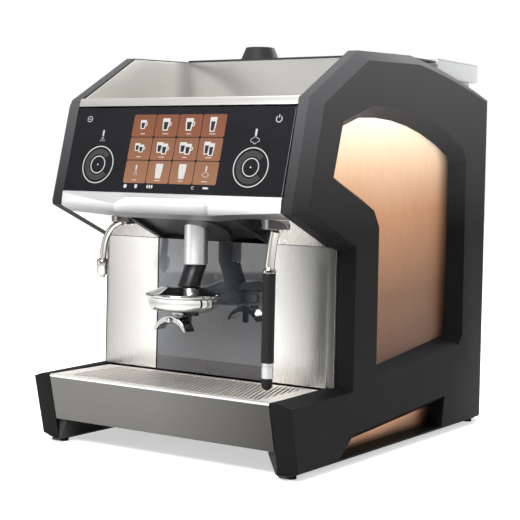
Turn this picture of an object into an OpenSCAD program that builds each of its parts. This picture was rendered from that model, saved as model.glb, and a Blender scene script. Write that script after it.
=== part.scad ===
// Countertop fully automatic coffee machine with a touch screen and a height-adjustable outlet.
// Millimetres. X runs to the right as seen from the front, +Y to the rear, Z up.
// The origin is on the surface it stands on, under the middle of the body.

/* [Body] */
// Width over the two side panels
overall_w = 414; // [408:1:420]
// Thickness of a side panel, from its inner face to its outer face
panel_t = 29.4; // [28:0.2:31]
// Height of the drip grid above the worktop
grid_z = 98.5; // [97:0.5:99]
// Thickness of the sheet steel
sheet_t = 1.5; // [1:0.1:2]

/* [Front] */
// Height of the glass front along its slope
glass_h = 117; // [114:1:118]
// Lean of the glass front from upright
glass_lean = 15; // [14:0.5:16]
// Thickness of the glass front
glass_t = 4; // [3:0.5:4]

/* [Outlet and wands] */
// Radius of the sliding outlet column
column_r = 16; // [15:0.5:18]
// Radius of the chrome outlet dome
dome_r = 51; // [48:1:56]
// Radius of the steam wand's grip sleeve
sleeve_r = 8.4; // [7.5:0.1:9]
// Radius of the hot water nozzle
nozzle_r = 8.5; // [7:0.5:9]

/* [Hoppers and lids] */
// Height of the bean hopper's top above the worktop
hopper_top = 552; // [548:1:556]
// Radius of the service cover knob at its base
knob_r = 29; // [24:1:32]

/* [Hidden] */
$fn = 48;

half_w = overall_w / 2;             // outer face of a side panel
inner_x = half_w - panel_t;         // inner face of a side panel
rim_x = half_w - 15;                // where the panel's rim turns into its bevel
insert_x = half_w - 22;             // outer face of the coloured inserts
fit_gap = 0.4;                      // gap between separate pieces
front_y = -300;
rear_y = 300;
wall_y = -169;                      // front of the splash wall
wall_half = 187.5;                  // half width of the splash wall
glass_half = 92;                    // half width of the dark middle of the splash wall
under_y = -282.5;                   // front lower corner of the head
under_z = 329.7;
under_fall = 21.6;                  // slope of the head's underside
arch_y = -173;                      // centre of the arched top edge
arch_z = -1341.3;
arch_r = 1900;
recess_back = 8;                    // rear wall of the cup well
well_floor = 470;
cover_z = 546.3;                    // underside of the service cover
hopper_y0 = 153.5;
hopper_y1 = 297;
column_y = -210;
dome_y = -236;
spout_y = -258;
steam_x = 145;
steam_z = 316;
wand_x = 137;
wand_y = -242;
water_x = -108;
water_z = 316;
grinder_x = 88;
grinder_y = 225;
fan_x = 100;
fan_z = 350;
hinge_y = 143;                      // service cover hinge
hinge_z = 540.5;

charcoal = [0.20, 0.20, 0.21];
copper = [0.80, 0.52, 0.34];
steel = [0.80, 0.79, 0.76];
black = [0.06, 0.06, 0.06];
chrome = [0.86, 0.86, 0.87];

// ---------- outlines in the side view, as [y, z] ----------

function arch(y) = arch_z + sqrt(arch_r * arch_r - (y - arch_y) * (y - arch_y));
arch_steps = 6;
panel_line = concat(
    [[-277, 7], [rear_y, 7]],
    [for (i = [0 : arch_steps]) [rear_y - 45 * i, arch(rear_y - 45 * i)]],
    [[-124, 542.4], [-245.6, 475], [under_y, under_z], [-155, 279.3], [-155, 101], [front_y, 98]]);
panel_bevel = concat([4.5, 38], [for (i = [0 : arch_steps]) 13.3], [13, 14, 10.5, 13, 5, 2]);

window_r = 600;                     // arched top of the window
window_c = [-58.7, -128.3];
function window_arch(y) = window_c[1] + sqrt(window_r * window_r - pow(y - window_c[0], 2));
window_line = concat(
    [[-79, 99], [181, 128], [194.5, 142], [192.5, 404]],
    [for (i = [0 : 6]) let (y = 180 - i * (180 + 106.8) / 6) [y, window_arch(y)]],
    [[-184, 447], [-206.9, 373.9], [-95.3, 332], [-80, 310]]);
lower_line = [[-174, 13], [130.4, 13], [138, 57.4], [-137.6, 40]];
lower_slope = [2, 3, 15, 3];
lower_rebate = [-1, -3, 9, -3];

function along(p, q) = (q - p) / norm(q - p);
function corner(p0, p1, p2, c1, c2) =
    let (e1 = along(p0, p1), e2 = along(p1, p2),
         n1 = [-e1[1], e1[0]], n2 = [-e2[1], e2[0]], k = n1 * n2, d = 1 - k * k)
    d < 0.0001 ? p1 + n1 * c1 : p1 + n1 * (c1 - k * c2) / d + n2 * (c2 - k * c1) / d;
// Moves every edge of an outline inwards, each by its own amount
function inset(pts, by) =
    let (n = len(pts))
    [for (i = [0 : n - 1])
        corner(pts[(i + n - 1) % n], pts[i], pts[(i + 1) % n], by[(i + n - 1) % n], by[i])];
function even(pts, by) = inset(pts, [for (p = pts) by]);

// ---------- shared shapes ----------

// Plate of a side-view outline between two X values
module plate(pts, x0, x1) {
    translate([x0, 0, 0]) rotate([90, 0, 90]) linear_extrude(x1 - x0) polygon(pts);
}

// Solid through side-view outlines with equal numbers of points, one at each X value
module layers(lines, xs) {
    n = len(lines[0]);
    last = len(xs) - 1;
    polyhedron(
        points = [for (s = [0 : last]) for (p = lines[s]) [xs[s], p[0], p[1]]],
        faces = concat([[for (i = [0 : n - 1]) i]], [[for (i = [0 : n - 1]) (last + 1) * n - 1 - i]],
            [for (s = [0 : last - 1], i = [0 : n - 1]) let (a = s * n, j = (i + 1) % n)
                [a + i, a + n + i, a + n + j, a + j]]));
}

module both_sides() {
    children();
    mirror([1, 0, 0]) children();
}

// Axes on the sloping glass front: local Y points into the body
module on_glass() {
    translate([0, -264.4, 407]) rotate([-glass_lean, 0, 0]) children();
}

// Axes on the sloping underside of the head: local Y runs back and down
module on_underside() {
    translate([0, under_y, under_z]) rotate([-under_fall, 0, 0]) children();
}

module box(x, y, z) {
    translate([x[0], y[0], z[0]]) cube([x[1] - x[0], y[1] - y[0], z[1] - z[0]]);
}

module rod_y(r, y0, y1) {
    translate([0, y0, 0]) rotate([-90, 0, 0]) cylinder(r = r, h = y1 - y0);
}

// Round tube of straight runs with ball corners, which may stand proud as fittings do
module run(points, r, elbow = 0.15) {
    for (i = [0 : len(points) - 2]) {
        v = points[i + 1] - points[i];
        translate(points[i])
            rotate([0, acos(v[2] / norm(v)), atan2(v[1], v[0])]) cylinder(r = r, h = norm(v));
        if (i > 0) translate(points[i]) sphere(r = r + elbow);
    }
}

function mix(a, b, t) = a * (1 - t) + b * t;
// Points along a curve that starts at a, leaves towards b and arrives at c
function bend(a, b, c, n) = [for (i = [0 : n]) let (t = i / n) mix(mix(a, b, t), mix(b, c, t), t)];

// ---------- shell ----------

module side_panel() {
    resize([0, 0, 0]) difference() {
        layers([panel_line, panel_line, inset(panel_line, panel_bevel)], [inner_x, rim_x, half_w]);
        layers([even(window_line, 7), even(window_line, 7), even(window_line, 15),
            even(window_line, -15 / 22)], [inner_x - 1, insert_x, insert_x, half_w + 1]);
        layers([inset(lower_line, lower_rebate), inset(lower_line, lower_rebate),
            inset(lower_line, lower_slope), inset(lower_line, -lower_slope / 22)],
            [inner_x - 1, insert_x, insert_x, half_w + 1]);
        difference() {
            plate(even(panel_line, 16), inner_x - 1, half_w - 5);
            plate(even(window_line, -5), inner_x - 2, half_w);
            plate(even(lower_line, -8), inner_x - 2, half_w);
        }
    }
}

module side_insert() {
    plate(even(window_line, 7 + fit_gap), insert_x - 3.4, insert_x - 0.1);
}

module lower_insert() {
    plate(inset(lower_line, [for (c = lower_rebate) c + fit_gap]), insert_x - 3.4, insert_x - 0.1);
}

// Foot rail under a side panel, with an inward fin that carries the base
module foot_rail() {
    translate([0, 285, 0]) rotate([90, 0, 0]) linear_extrude(285 + 278)
        polygon([[half_w - 26, 3], [half_w - 17, 3], [half_w - 17, 6.6], [inner_x - 0.5, 6.6],
            [inner_x - 0.5, 36], [inner_x - 14, 34.5], [inner_x - 14, 31], [inner_x - 3, 7]]);
}

module foot_pads() {
    color(black) both_sides() for (y = [-258, 268])
        translate([half_w - 21.5, y, 0]) cylinder(r = 7, h = 3);
}

module base_pan() {
    color(steel) difference() {
        box([-162, 162], [-92, 284], [12, 34]);
        box([-160, 160], [-90, 282], [14, 35]);
        for (x = [-120, 120], y = [-60, 250]) translate([x, y, 0]) cylinder(r = 4, h = 40);
    }
}

module chassis() {
    difference() {
        plate([[-148, 40], [284, 40], [284, 466], [-236, 466], [-254, 354], [-254, 323],
            [-148, 281]], inner_x - 5, inner_x - 3);
        for (y = [-80, 60, 200]) plate([[y - 45, 90], [y + 45, 90], [y + 45, 230], [y - 45, 230]],
            inner_x - 6, inner_x - 2);
    }
}

// Half of the bent steel wall behind the cup space, with a rounded outer corner
module splash_steel() {
    corner_r = 8;
    lower = grid_z + 2.5;
    difference() {
        linear_extrude(320) difference() {
            union() {
                translate([glass_half + 2, wall_y]) square([wall_half - corner_r - glass_half - 2,
                    corner_r + 3]);
                translate([wall_half - corner_r, wall_y + corner_r]) circle(r = corner_r);
            }
            translate([glass_half + 1, wall_y + sheet_t]) square([wall_half - corner_r - glass_half - 1,
                corner_r + 3]);
            translate([wall_half - corner_r, wall_y + corner_r]) circle(r = corner_r - sheet_t);
            translate([glass_half, wall_y + corner_r]) square([120, 30]);
        }
        box([0, 200], [-200, -100], [-1, lower]);
        on_underside() box([0, 200], [-50, 220], [-0.2, 100]);
    }
}

module corner_strip() {
    difference() {
        box([wall_half - sheet_t, wall_half], [wall_y + 8.4, -155.4], [grid_z + 2.5, 320]);
        on_underside() box([0, 200], [-50, 220], [-0.2, 100]);
    }
}

module splash_glass() {
    color(black) difference() {
        box([-glass_half, glass_half], [wall_y, wall_y + 5], [grid_z + 2.5, 320]);
        on_underside() box([-200, 200], [-50, 220], [-0.2, 100]);
    }
}

module rear_cover() {
    color(charcoal) difference() {
        box([-176.5, 176.5], [289, 291], [14, 497]);
        for (z = [150 : 14 : 290]) box([-120, 20], [288, 292], [z, z + 5]);
        for (i = [-5 : 5]) let (w = sqrt(36 * 36 - i * i * 36))
            box([fan_x - w, fan_x + w], [288, 292], [fan_z + i * 6 - 2, fan_z + i * 6 + 2]);
        for (x = [-168, 168], z = [40, 180, 330, 480])
            translate([x, 0, z]) rod_y(2.2, 288, 292);
        translate([-120, 0, 60]) rod_y(10.2, 288, 292);
        translate([-70, 0, 60]) rod_y(9.2, 288, 292);
        translate([-20, 0, 60]) rod_y(9.2, 288, 292);
    }
}

module cover_screws() {
    color(steel) for (x = [-168, 168], z = [40, 180, 330, 480]) translate([x, 0, z]) {
        rod_y(4, 291.1, 293.3);
        rod_y(1.9, 285.5, 291.1);
    }
}

// ---------- head ----------

module front_glass() {
    color(black) on_glass() box([-176.5, 176.5], [0, glass_t], [-glass_h / 2, glass_h / 2]);
}

module display_module() {
    color(black) on_glass() {
        box([-86, 86], [glass_t + 0.3, 17], [-54, 54]);
        both_sides() translate([124, 0, -22]) rod_y(28, glass_t + 0.3, 9);
    }
}

module head_carrier() {
    color(steel) on_glass() difference() {
        box([-170, 170], [17.5, 19.5], [-52, 54]);
        for (x = [-150, 150], z = [-40, 40]) translate([x, 0, z]) rod_y(2.2, 10, 30);
        box([-50, 50], [10, 30], [-20, 20]);
    }
}

module control_board() {
    color([0.1, 0.35, 0.2]) on_glass() {
        box([-110, 110], [24, 25.6], [-40, 40]);
        for (x = [-80, 20]) box([x, x + 40], [25.6, 37], [-24, 14]);
        for (x = [-100, 96], z = [-36, 32]) box([x, x + 4], [19.5, 24], [z, z + 4]);
    }
}

// Faceted bar under the glass: a flat middle plate between two wings
trim_ends = [[-279.2, 349.4], [-281, 347], [-283, 330], [-277, 326.8], [-260, 320.6], [-262, 349.4]];
trim_step = [[-279.4, 349.4], [-294, 334], [-293, 323.8], [-270, 316], [-260, 320], [-262, 349.4]];
trim_plate = [[-279.4, 349.4], [-287, 343], [-287, 323], [-270, 316], [-260, 320], [-262, 349.4]];
trim_x = [-176.5, -75.5, -61, 61, 75.5, 176.5];
trim_cut = [trim_ends, trim_step, trim_plate, trim_plate, trim_step, trim_ends];
module trim_bar() {
    n = 6;
    color(chrome) polyhedron(
        points = [for (s = [0 : 5]) for (p = trim_cut[s]) [trim_x[s], p[0], p[1]]],
        faces = concat([[for (i = [0 : n - 1]) n - 1 - i]], [[for (i = [0 : n - 1]) 5 * n + i]],
            [for (s = [0 : 4], i = [0 : n - 1]) let (a = s * n, j = (i + 1) % n)
                [a + i, a + j, a + n + i]],
            [for (s = [0 : 4], i = [0 : n - 1]) let (a = s * n, j = (i + 1) % n)
                [a + j, a + n + j, a + n + i]]));
}

// Pressed steel well on top of the head, with a rolled front edge
module cup_well() {
    t = sheet_t;
    side = [[-238, well_floor], [-238, 476], [-124, 540.5], [recess_back, 545], [recess_back, well_floor]];
    color(steel) {
        plate([[-248, 466], [-245.6, 474.5], [-243.5, 476.8], [-240, 477], [-238, 475],
            [-236.5, well_floor + t], [recess_back, well_floor + t], [recess_back, 546],
            [recess_back + t, 546], [recess_back + t, well_floor], [-238.5, well_floor],
            [-240.3, 474.5], [-242.8, 474.5], [-244, 473], [-246.3, 466]], -176.9, 176.9);
        both_sides() plate(side, 175.4, 176.9);
    }
}

module underside() {
    color(steel) difference() {
        on_underside() box([glass_half + 1, 176.5], [25, 121], [0, sheet_t]);
        translate([steam_x, wand_y, 0]) cylinder(r = 18.4, h = 400);
    }
}

module underside_water() {
    color(steel) difference() {
        on_underside() box([-176.5, -glass_half - 1], [25, 121], [0, sheet_t]);
        translate([water_x, -232, 0]) cylinder(r = 16.4, h = 400);
    }
}

module ceiling_plate() {
    color(steel) difference() {
        on_underside() box([-84.6, 84.6], [25, 121], [6, 7.5]);
        translate([0, column_y, 0]) cylinder(r = 46.4, h = 400);
    }
}

module ceiling_frame() {
    color(black) both_sides() on_underside() box([85, glass_half], [25, 121], [-0.2, 10]);
}

module outlet_collar() {
    color(black) difference() {
        intersection() {
            translate([0, column_y, 280]) cylinder(r = 46, h = 60);
            on_underside() box([-60, 60], [20, 125], [0.5, 14]);
        }
        translate([0, column_y, 270]) cylinder(r = column_r + fit_gap, h = 80);
    }
}

// Cap around a ball joint, open below so that the tube can swing
module socket(r, ball, hole, height) {
    difference() {
        translate([0, 0, -8]) cylinder(r = r, h = height);
        sphere(r = ball + 0.35);
        translate([0, 0, -8.1]) cylinder(r1 = r - 1.5, r2 = ball + 0.35, h = 8.1);
        cylinder(r = hole, h = 60);
    }
}

module wand_sockets() {
    color(chrome) {
        translate([steam_x, wand_y, steam_z]) socket(18, 11, 8, 20);
        translate([water_x, -232, water_z]) socket(16, 10, 6, 18);
    }
}

// ---------- moving outlet ----------

module outlet_column() {
    color(chrome) difference() {
        translate([0, column_y, 254]) cylinder(r = column_r, h = 90);
        translate([0, column_y, 262]) cylinder(r = column_r - 3, h = 90);
    }
}

module outlet_neck() {
    color(black) hull() {
        translate([0, column_y, 252]) cylinder(r = 15.8, h = 1.9, $fn = 32);
        translate([0, -224.5, 226.4]) cylinder(r = 15.4, h = 1, $fn = 32);
    }
}

module outlet_dome() {
    color(chrome) translate([0, dome_y, 0]) rotate_extrude($fn = 72)
        polygon(concat([[0, 226.2], [28, 226.2], [31, 224.8]],
            [for (a = [70 : -20 : -90]) [dome_r - 3 + 3 * cos(a), 215 + 3 * sin(a)]],
            [for (a = [0 : 15 : 75]) [dome_r - 15.5 + 11 * cos(a), 204 - 10 * sin(a)]], [[0, 194]]));
}

// Twin spout: a broad saddle curving down on both sides of a centre boss
module outlet_spout() {
    color(chrome) translate([0, spout_y, 0]) {
        translate([0, 12, 193.8]) mirror([0, 0, 1]) cylinder(r = 9, h = 7);
        rotate([90, 0, 0]) translate([0, 0, -12]) linear_extrude(21) difference() {
            translate([0, 162]) circle(r = 27);
            translate([0, 155.5]) circle(r = 26);
            translate([-40, 110]) square([80, 59]);
        }
        translate([0, -14, 183]) rotate([-90, 0, 0]) cylinder(r = 4, h = 20);
    }
    color(black) translate([5.4, dome_y - 7, 168]) cube([9, 9, 25.8]);
}

// ---------- wands ----------

water_path = bend([-111.4, -233, 304.6], [-134, -240, 300], [-136, -240, 256], 6);
module water_wand() {
    color(chrome) {
        translate([water_x, -232, water_z]) sphere(r = 10);
        run(water_path, 4.9);
        translate([-136, -240, 234]) cylinder(r = nozzle_r, h = 22);
        translate([-136, -240, 230]) cylinder(r = 3.5, h = 4);
    }
}

module steam_ball() {
    color(chrome) translate([steam_x, wand_y, steam_z]) sphere(r = 11);
}

steam_path = bend([steam_x - 0.8, wand_y, steam_z - 11.1], [wand_x + 2, wand_y, 284], [wand_x, wand_y, 257], 6);
module steam_tube() {
    color(chrome) {
        run(steam_path, 6.2);
        translate([wand_x, wand_y, 252]) cylinder(r = sleeve_r + 0.6, h = 4.8);
    }
}

module steam_sleeve() {
    color(black) translate([wand_x, wand_y, 138]) cylinder(r = sleeve_r, h = 114);
}

module steam_tip() {
    color(chrome) translate([wand_x, wand_y, 118]) cylinder(r = sleeve_r - 0.4, h = 20);
    color(black) translate([wand_x, wand_y, 0]) {
        translate([0, 0, 110]) cylinder(r = 7, h = 8);
        translate([0, 0, 110]) sphere(r = 7);
    }
}

// ---------- drip tray ----------

module drip_tray() {
    color(steel) plate([[-285, 35.5], [-283, 35.5], [-297.2, 93.5], [-297, 95], [-294.2, 96.2],
        [-294.2, 98.5], [-297.2, 98.5], [-299, 97.6], [-299.8, 95.8], [-299.6, 93.6]], -176.6, 176.6);
    color(black) difference() {
        box([-174, 174], [-280.5, -171], [38, 95.5]);
        box([-171, 171], [-277.5, -174], [41, 96]);
    }
    color(black) for (x = [-150, 130]) box([x, x + 20], [-294.5, -280.4], [85, 93]);
    color(black) difference() {
        box([-85, 85], [-170.8, 20], [38, 96]);
        box([-82, 82], [-168, 17], [41, 97]);
    }
}

slot_turn = 19.3;                   // slots lean this much from the front-to-back direction
slot_pitch = 6.35;
module drip_grid() {
    color(steel) difference() {
        box([-175.6, 175.6], [-293.8, -170.8], [grid_z - 2, grid_z]);
        intersection() {
            box([-154, 154], [-288, -176], [grid_z - 3, grid_z + 1]);
            for (i = [-28 : 28]) translate([i * slot_pitch, -232, grid_z - 3]) rotate([0, 0, slot_turn])
                translate([-1.5, -70, 0]) cube([3, 140, 5]);
        }
    }
}

// ---------- lids and hopper ----------

module service_cover() {
    color(black) {
        difference() {
            union() {
                box([-176.6, 176.6], [10.4, 146], [cover_z, cover_z + 3]);
                for (x = [-120, 108]) box([x, x + 12], [hinge_y - 4, hinge_y + 3], [hinge_z, cover_z]);
                for (x = [-120, 108]) translate([x, hinge_y, hinge_z]) rotate([0, 90, 0])
                    cylinder(r = 4, h = 12);
            }
            translate([-130, hinge_y, hinge_z]) rotate([0, 90, 0]) cylinder(r = 2.05, h = 260);
        }
        translate([-66, 42, cover_z + 3]) cylinder(r1 = knob_r, r2 = knob_r - 7.5, h = 18.7);
    }
}

module service_deck() {
    color(steel) {
        difference() {
            box([-171, 171], [12, 150], [505, 507]);
            translate([-66, 70, 500]) cylinder(r = 30, h = 10);
        }
        for (x = [-134, 122]) difference() {
            box([x, x + 12], [hinge_y - 4, hinge_y + 4], [507, 544]);
            translate([x - 1, hinge_y, hinge_z]) rotate([0, 90, 0]) cylinder(r = 2.02, h = 14);
        }
        translate([-134, hinge_y, hinge_z]) rotate([0, 90, 0]) cylinder(r = 2, h = 268);
    }
}

module bean_hopper() {
    color([0.9, 0.9, 0.9, 0.5]) difference() {
        union() {
            box([-175.5, 175.5], [hopper_y0, hopper_y1], [526, hopper_top]);
            box([-166, 166], [163, 288], [442, 526]);
            both_sides() translate([grinder_x, grinder_y, 432]) cylinder(r = 22, h = 12);
        }
        both_sides() {
            box([1.5, 172.5], [hopper_y0 + 3, hopper_y1 - 3], [529, hopper_top + 1]);
            box([1.5, 163], [166, 285], [445, 530]);
            translate([grinder_x, grinder_y, 430]) cylinder(r = 19, h = 20);
        }
    }
}

// Lid of the bean hopper, with a lip that drops into each half
module hopper_lid() {
    color([0.9, 0.9, 0.9, 0.5]) {
        box([-175.5, 175.5], [hopper_y0, hopper_y1], [hopper_top + 0.3, hopper_top + 3.5]);
        both_sides() difference() {
            box([2, 172], [hopper_y0 + 3.5, hopper_y1 - 3.5], [hopper_top - 7, hopper_top + 0.3]);
            box([4, 170], [hopper_y0 + 5.5, hopper_y1 - 5.5], [hopper_top - 8, hopper_top + 1]);
        }
    }
}

// ---------- inside ----------

module coffee_boiler() {
    color(steel) translate([-100, 0, 230]) {
        rod_y(42, -35, 75);
        for (y = [-45, 75]) rod_y(48, y, y + 10);
    }
}

module steam_boiler() {
    color(steel) translate([100, 50, 0]) {
        translate([0, 0, 140]) cylinder(r = 58, h = 180);
        for (z = [132, 320]) translate([0, 0, z]) cylinder(r = 64, h = 8);
    }
}

module boiler_pipes() {
    color(copper) {
        run([[100, 20, 328.2], [100, 20, 348], [steam_x, -180, 348], [steam_x, wand_y, 340],
            [steam_x, wand_y, steam_z + 12.2]], 4, 1.5);
        run([[-100, 20, 272], [-100, 20, 345], [water_x, -180, 345], [water_x, -232, 338],
            [water_x, -232, water_z + 10.2]], 3.5, 1.5);
    }
}

module brew_group() {
    color(black) translate([0, -95, 0]) difference() {
        union() {
            translate([0, 0, 170]) cylinder(r = 36, h = 150);
            box([-46, 46], [-10, 50], [320, 332]);
        }
        translate([0, 0, 160]) cylinder(r = 27.05, h = 150);
        translate([0, 0, 300]) cylinder(r = 6.05, h = 40);
    }
}

module brew_piston() {
    color(steel) translate([0, -95, 0]) {
        translate([0, 0, 255]) cylinder(r = 27, h = 22);
        translate([0, 0, 277]) cylinder(r = 6, h = 85);
    }
}

module grinder() {
    color(black) translate([grinder_x, grinder_y, 0]) difference() {
        union() {
            translate([0, 0, 360]) cylinder(r = 44, h = 71);
            translate([0, 0, 250]) cylinder(r = 36, h = 110);
            box([-15, 15], [-70, -40], [366, 392]);
        }
        translate([0, 0, 380]) cylinder(r = 35, h = 46);
        translate([0, 0, 420]) cylinder(r = 20, h = 20);
        translate([0, 0, 300]) cylinder(r = 5.05, h = 90);
        box([-10, 10], [-71, -30], [381, 389]);
    }
}

module burr() {
    color(steel) translate([grinder_x, grinder_y, 0]) {
        translate([0, 0, 382]) cylinder(r = 31, h = 12);
        translate([0, 0, 394]) cylinder(r1 = 20, r2 = 8, h = 18);
        translate([0, 0, 302]) cylinder(r = 5, h = 80);
    }
}

module pump_motor() {
    color(black) translate([-110, 0, 85]) {
        rod_y(40, 120, 230);
        rod_y(30, 230, 240);
    }
}

module pump_head() {
    color([0.75, 0.6, 0.3]) translate([-110, 0, 85]) {
        rod_y(24, 70, 119.8);
        both_sides() translate([24, 95, 0]) rotate([0, 90, 0]) cylinder(r = 7, h = 14);
    }
}

module power_supply() {
    color(steel) difference() {
        box([40, 160], [130, 270], [45, 120]);
        for (y = [150 : 20 : 250]) box([39, 50], [y, y + 8], [60, 105]);
    }
}

module fan_frame() {
    color(black) translate([fan_x, 0, fan_z]) difference() {
        box([-40, 40], [270, 288], [-40, 40]);
        rod_y(37, 269, 284);
        for (a = [0 : 90 : 270]) rotate([0, a, 0]) box([8, 34], [283, 289], [8, 20]);
        rod_y(3.05, 275, 289);
    }
}

module fan_rotor() {
    color(black) translate([fan_x, 0, fan_z]) {
        rod_y(13, 272, 282);
        rod_y(3, 282, 287);
        for (a = [0 : 51.43 : 308]) rotate([0, a, 0]) translate([12, 273, -1])
            rotate([28, 0, 0]) cube([23, 8, 1.6]);
    }
}

// Cable gland, water inlet and drain tail through the rear cover
module rear_fittings() {
    color(black) translate([-120, 0, 60]) difference() {
        union() {
            rod_y(10, 284, 298);
            rod_y(14, 291.2, 296);
        }
        rod_y(4, 283, 299);
    }
    color([0.75, 0.6, 0.3]) for (x = [-70, -20]) translate([x, 0, 60]) difference() {
        union() {
            rod_y(9, 284, 292);
            rod_y(12, 291.2, 294);
            rod_y(8, 292, 299.5);
        }
        rod_y(5, 283, 300);
    }
}

base_pan();
color(black) mirror([1, 0, 0]) foot_rail();  // foot_rail_left
color(black) foot_rail();  // foot_rail_right
foot_pads();
color(charcoal) mirror([1, 0, 0]) side_panel();  // side_panel_left
color(charcoal) side_panel();  // side_panel_right
color(copper) mirror([1, 0, 0]) side_insert();  // side_insert_left
color(copper) side_insert();  // side_insert_right
color(copper) mirror([1, 0, 0]) lower_insert();  // lower_insert_left
color(copper) lower_insert();  // lower_insert_right
color(steel) mirror([1, 0, 0]) chassis();  // chassis_left
color(steel) chassis();  // chassis_right
color(steel) mirror([1, 0, 0]) splash_steel();  // splash_steel_left
color(steel) splash_steel();  // splash_steel_right
color(steel) both_sides() corner_strip();  // corner_strips
splash_glass();
front_glass();
display_module();
head_carrier();
control_board();
trim_bar();
cup_well();
underside_water();  // underside_left
underside();  // underside_right
ceiling_plate();
ceiling_frame();
outlet_collar();
rear_cover();
cover_screws();
service_deck();
coffee_boiler();
steam_boiler();
boiler_pipes();
brew_group();
brew_piston();
mirror([1, 0, 0]) grinder();  // grinder_left
grinder();  // grinder_right
mirror([1, 0, 0]) burr();  // burr_left
burr();  // burr_right
pump_motor();
pump_head();
power_supply();
fan_frame();
fan_rotor();
rear_fittings();
wand_sockets();
water_wand();
steam_ball();
steam_tube();
steam_sleeve();
steam_tip();
outlet_column();
outlet_neck();
outlet_dome();
outlet_spout();
drip_tray();
drip_grid();
bean_hopper();
hopper_lid();
service_cover();
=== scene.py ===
"""Countertop coffee machine: finishes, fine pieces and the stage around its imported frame."""

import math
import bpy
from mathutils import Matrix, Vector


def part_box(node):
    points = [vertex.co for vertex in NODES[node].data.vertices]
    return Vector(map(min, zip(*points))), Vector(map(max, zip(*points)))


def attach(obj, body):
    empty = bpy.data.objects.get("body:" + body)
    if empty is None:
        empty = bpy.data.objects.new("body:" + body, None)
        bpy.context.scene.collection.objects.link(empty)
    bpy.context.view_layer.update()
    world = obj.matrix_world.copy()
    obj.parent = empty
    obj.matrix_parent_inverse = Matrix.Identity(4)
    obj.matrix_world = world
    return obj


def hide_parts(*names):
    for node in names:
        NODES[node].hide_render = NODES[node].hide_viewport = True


bl_info = {
    "name": "Countertop coffee machine",
    "version": (1, 0, 0),
    "blender": (4, 5, 0),
    "location": "View3D > Sidebar > Coffee machine",
    "description": "Finishes and fine pieces of a fully automatic coffee machine",
    "category": "Object",
}

import bmesh
import bpy
from bpy.props import FloatProperty, FloatVectorProperty, PointerProperty
from mathutils import Matrix, Vector

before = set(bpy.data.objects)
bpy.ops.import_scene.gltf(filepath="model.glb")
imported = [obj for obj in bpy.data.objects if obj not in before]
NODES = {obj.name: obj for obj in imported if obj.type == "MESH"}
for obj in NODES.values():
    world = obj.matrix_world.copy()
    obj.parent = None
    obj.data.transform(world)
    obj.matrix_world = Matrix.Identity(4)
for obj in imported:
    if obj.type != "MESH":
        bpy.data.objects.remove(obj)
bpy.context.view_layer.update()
MM = 0.001


def mm(*values):
    """A point given in millimetres."""
    return Vector([v * MM for v in values])


# ---------- shader graphs ----------


class Value:
    """One output of a material graph, whose arithmetic adds Math nodes."""

    def __init__(self, graph, socket):
        self.graph = graph
        self.socket = socket

    def _math(self, operation, *terms):
        return self.graph.node("ShaderNodeMath", {"operation": operation},
                               dict(enumerate(terms)))

    def __add__(self, other):
        return self._math("ADD", self, other)

    def __radd__(self, other):
        return self._math("ADD", other, self)

    def __sub__(self, other):
        return self._math("SUBTRACT", self, other)

    def __rsub__(self, other):
        return self._math("SUBTRACT", other, self)

    def __mul__(self, other):
        return self._math("MULTIPLY", self, other)


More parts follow.
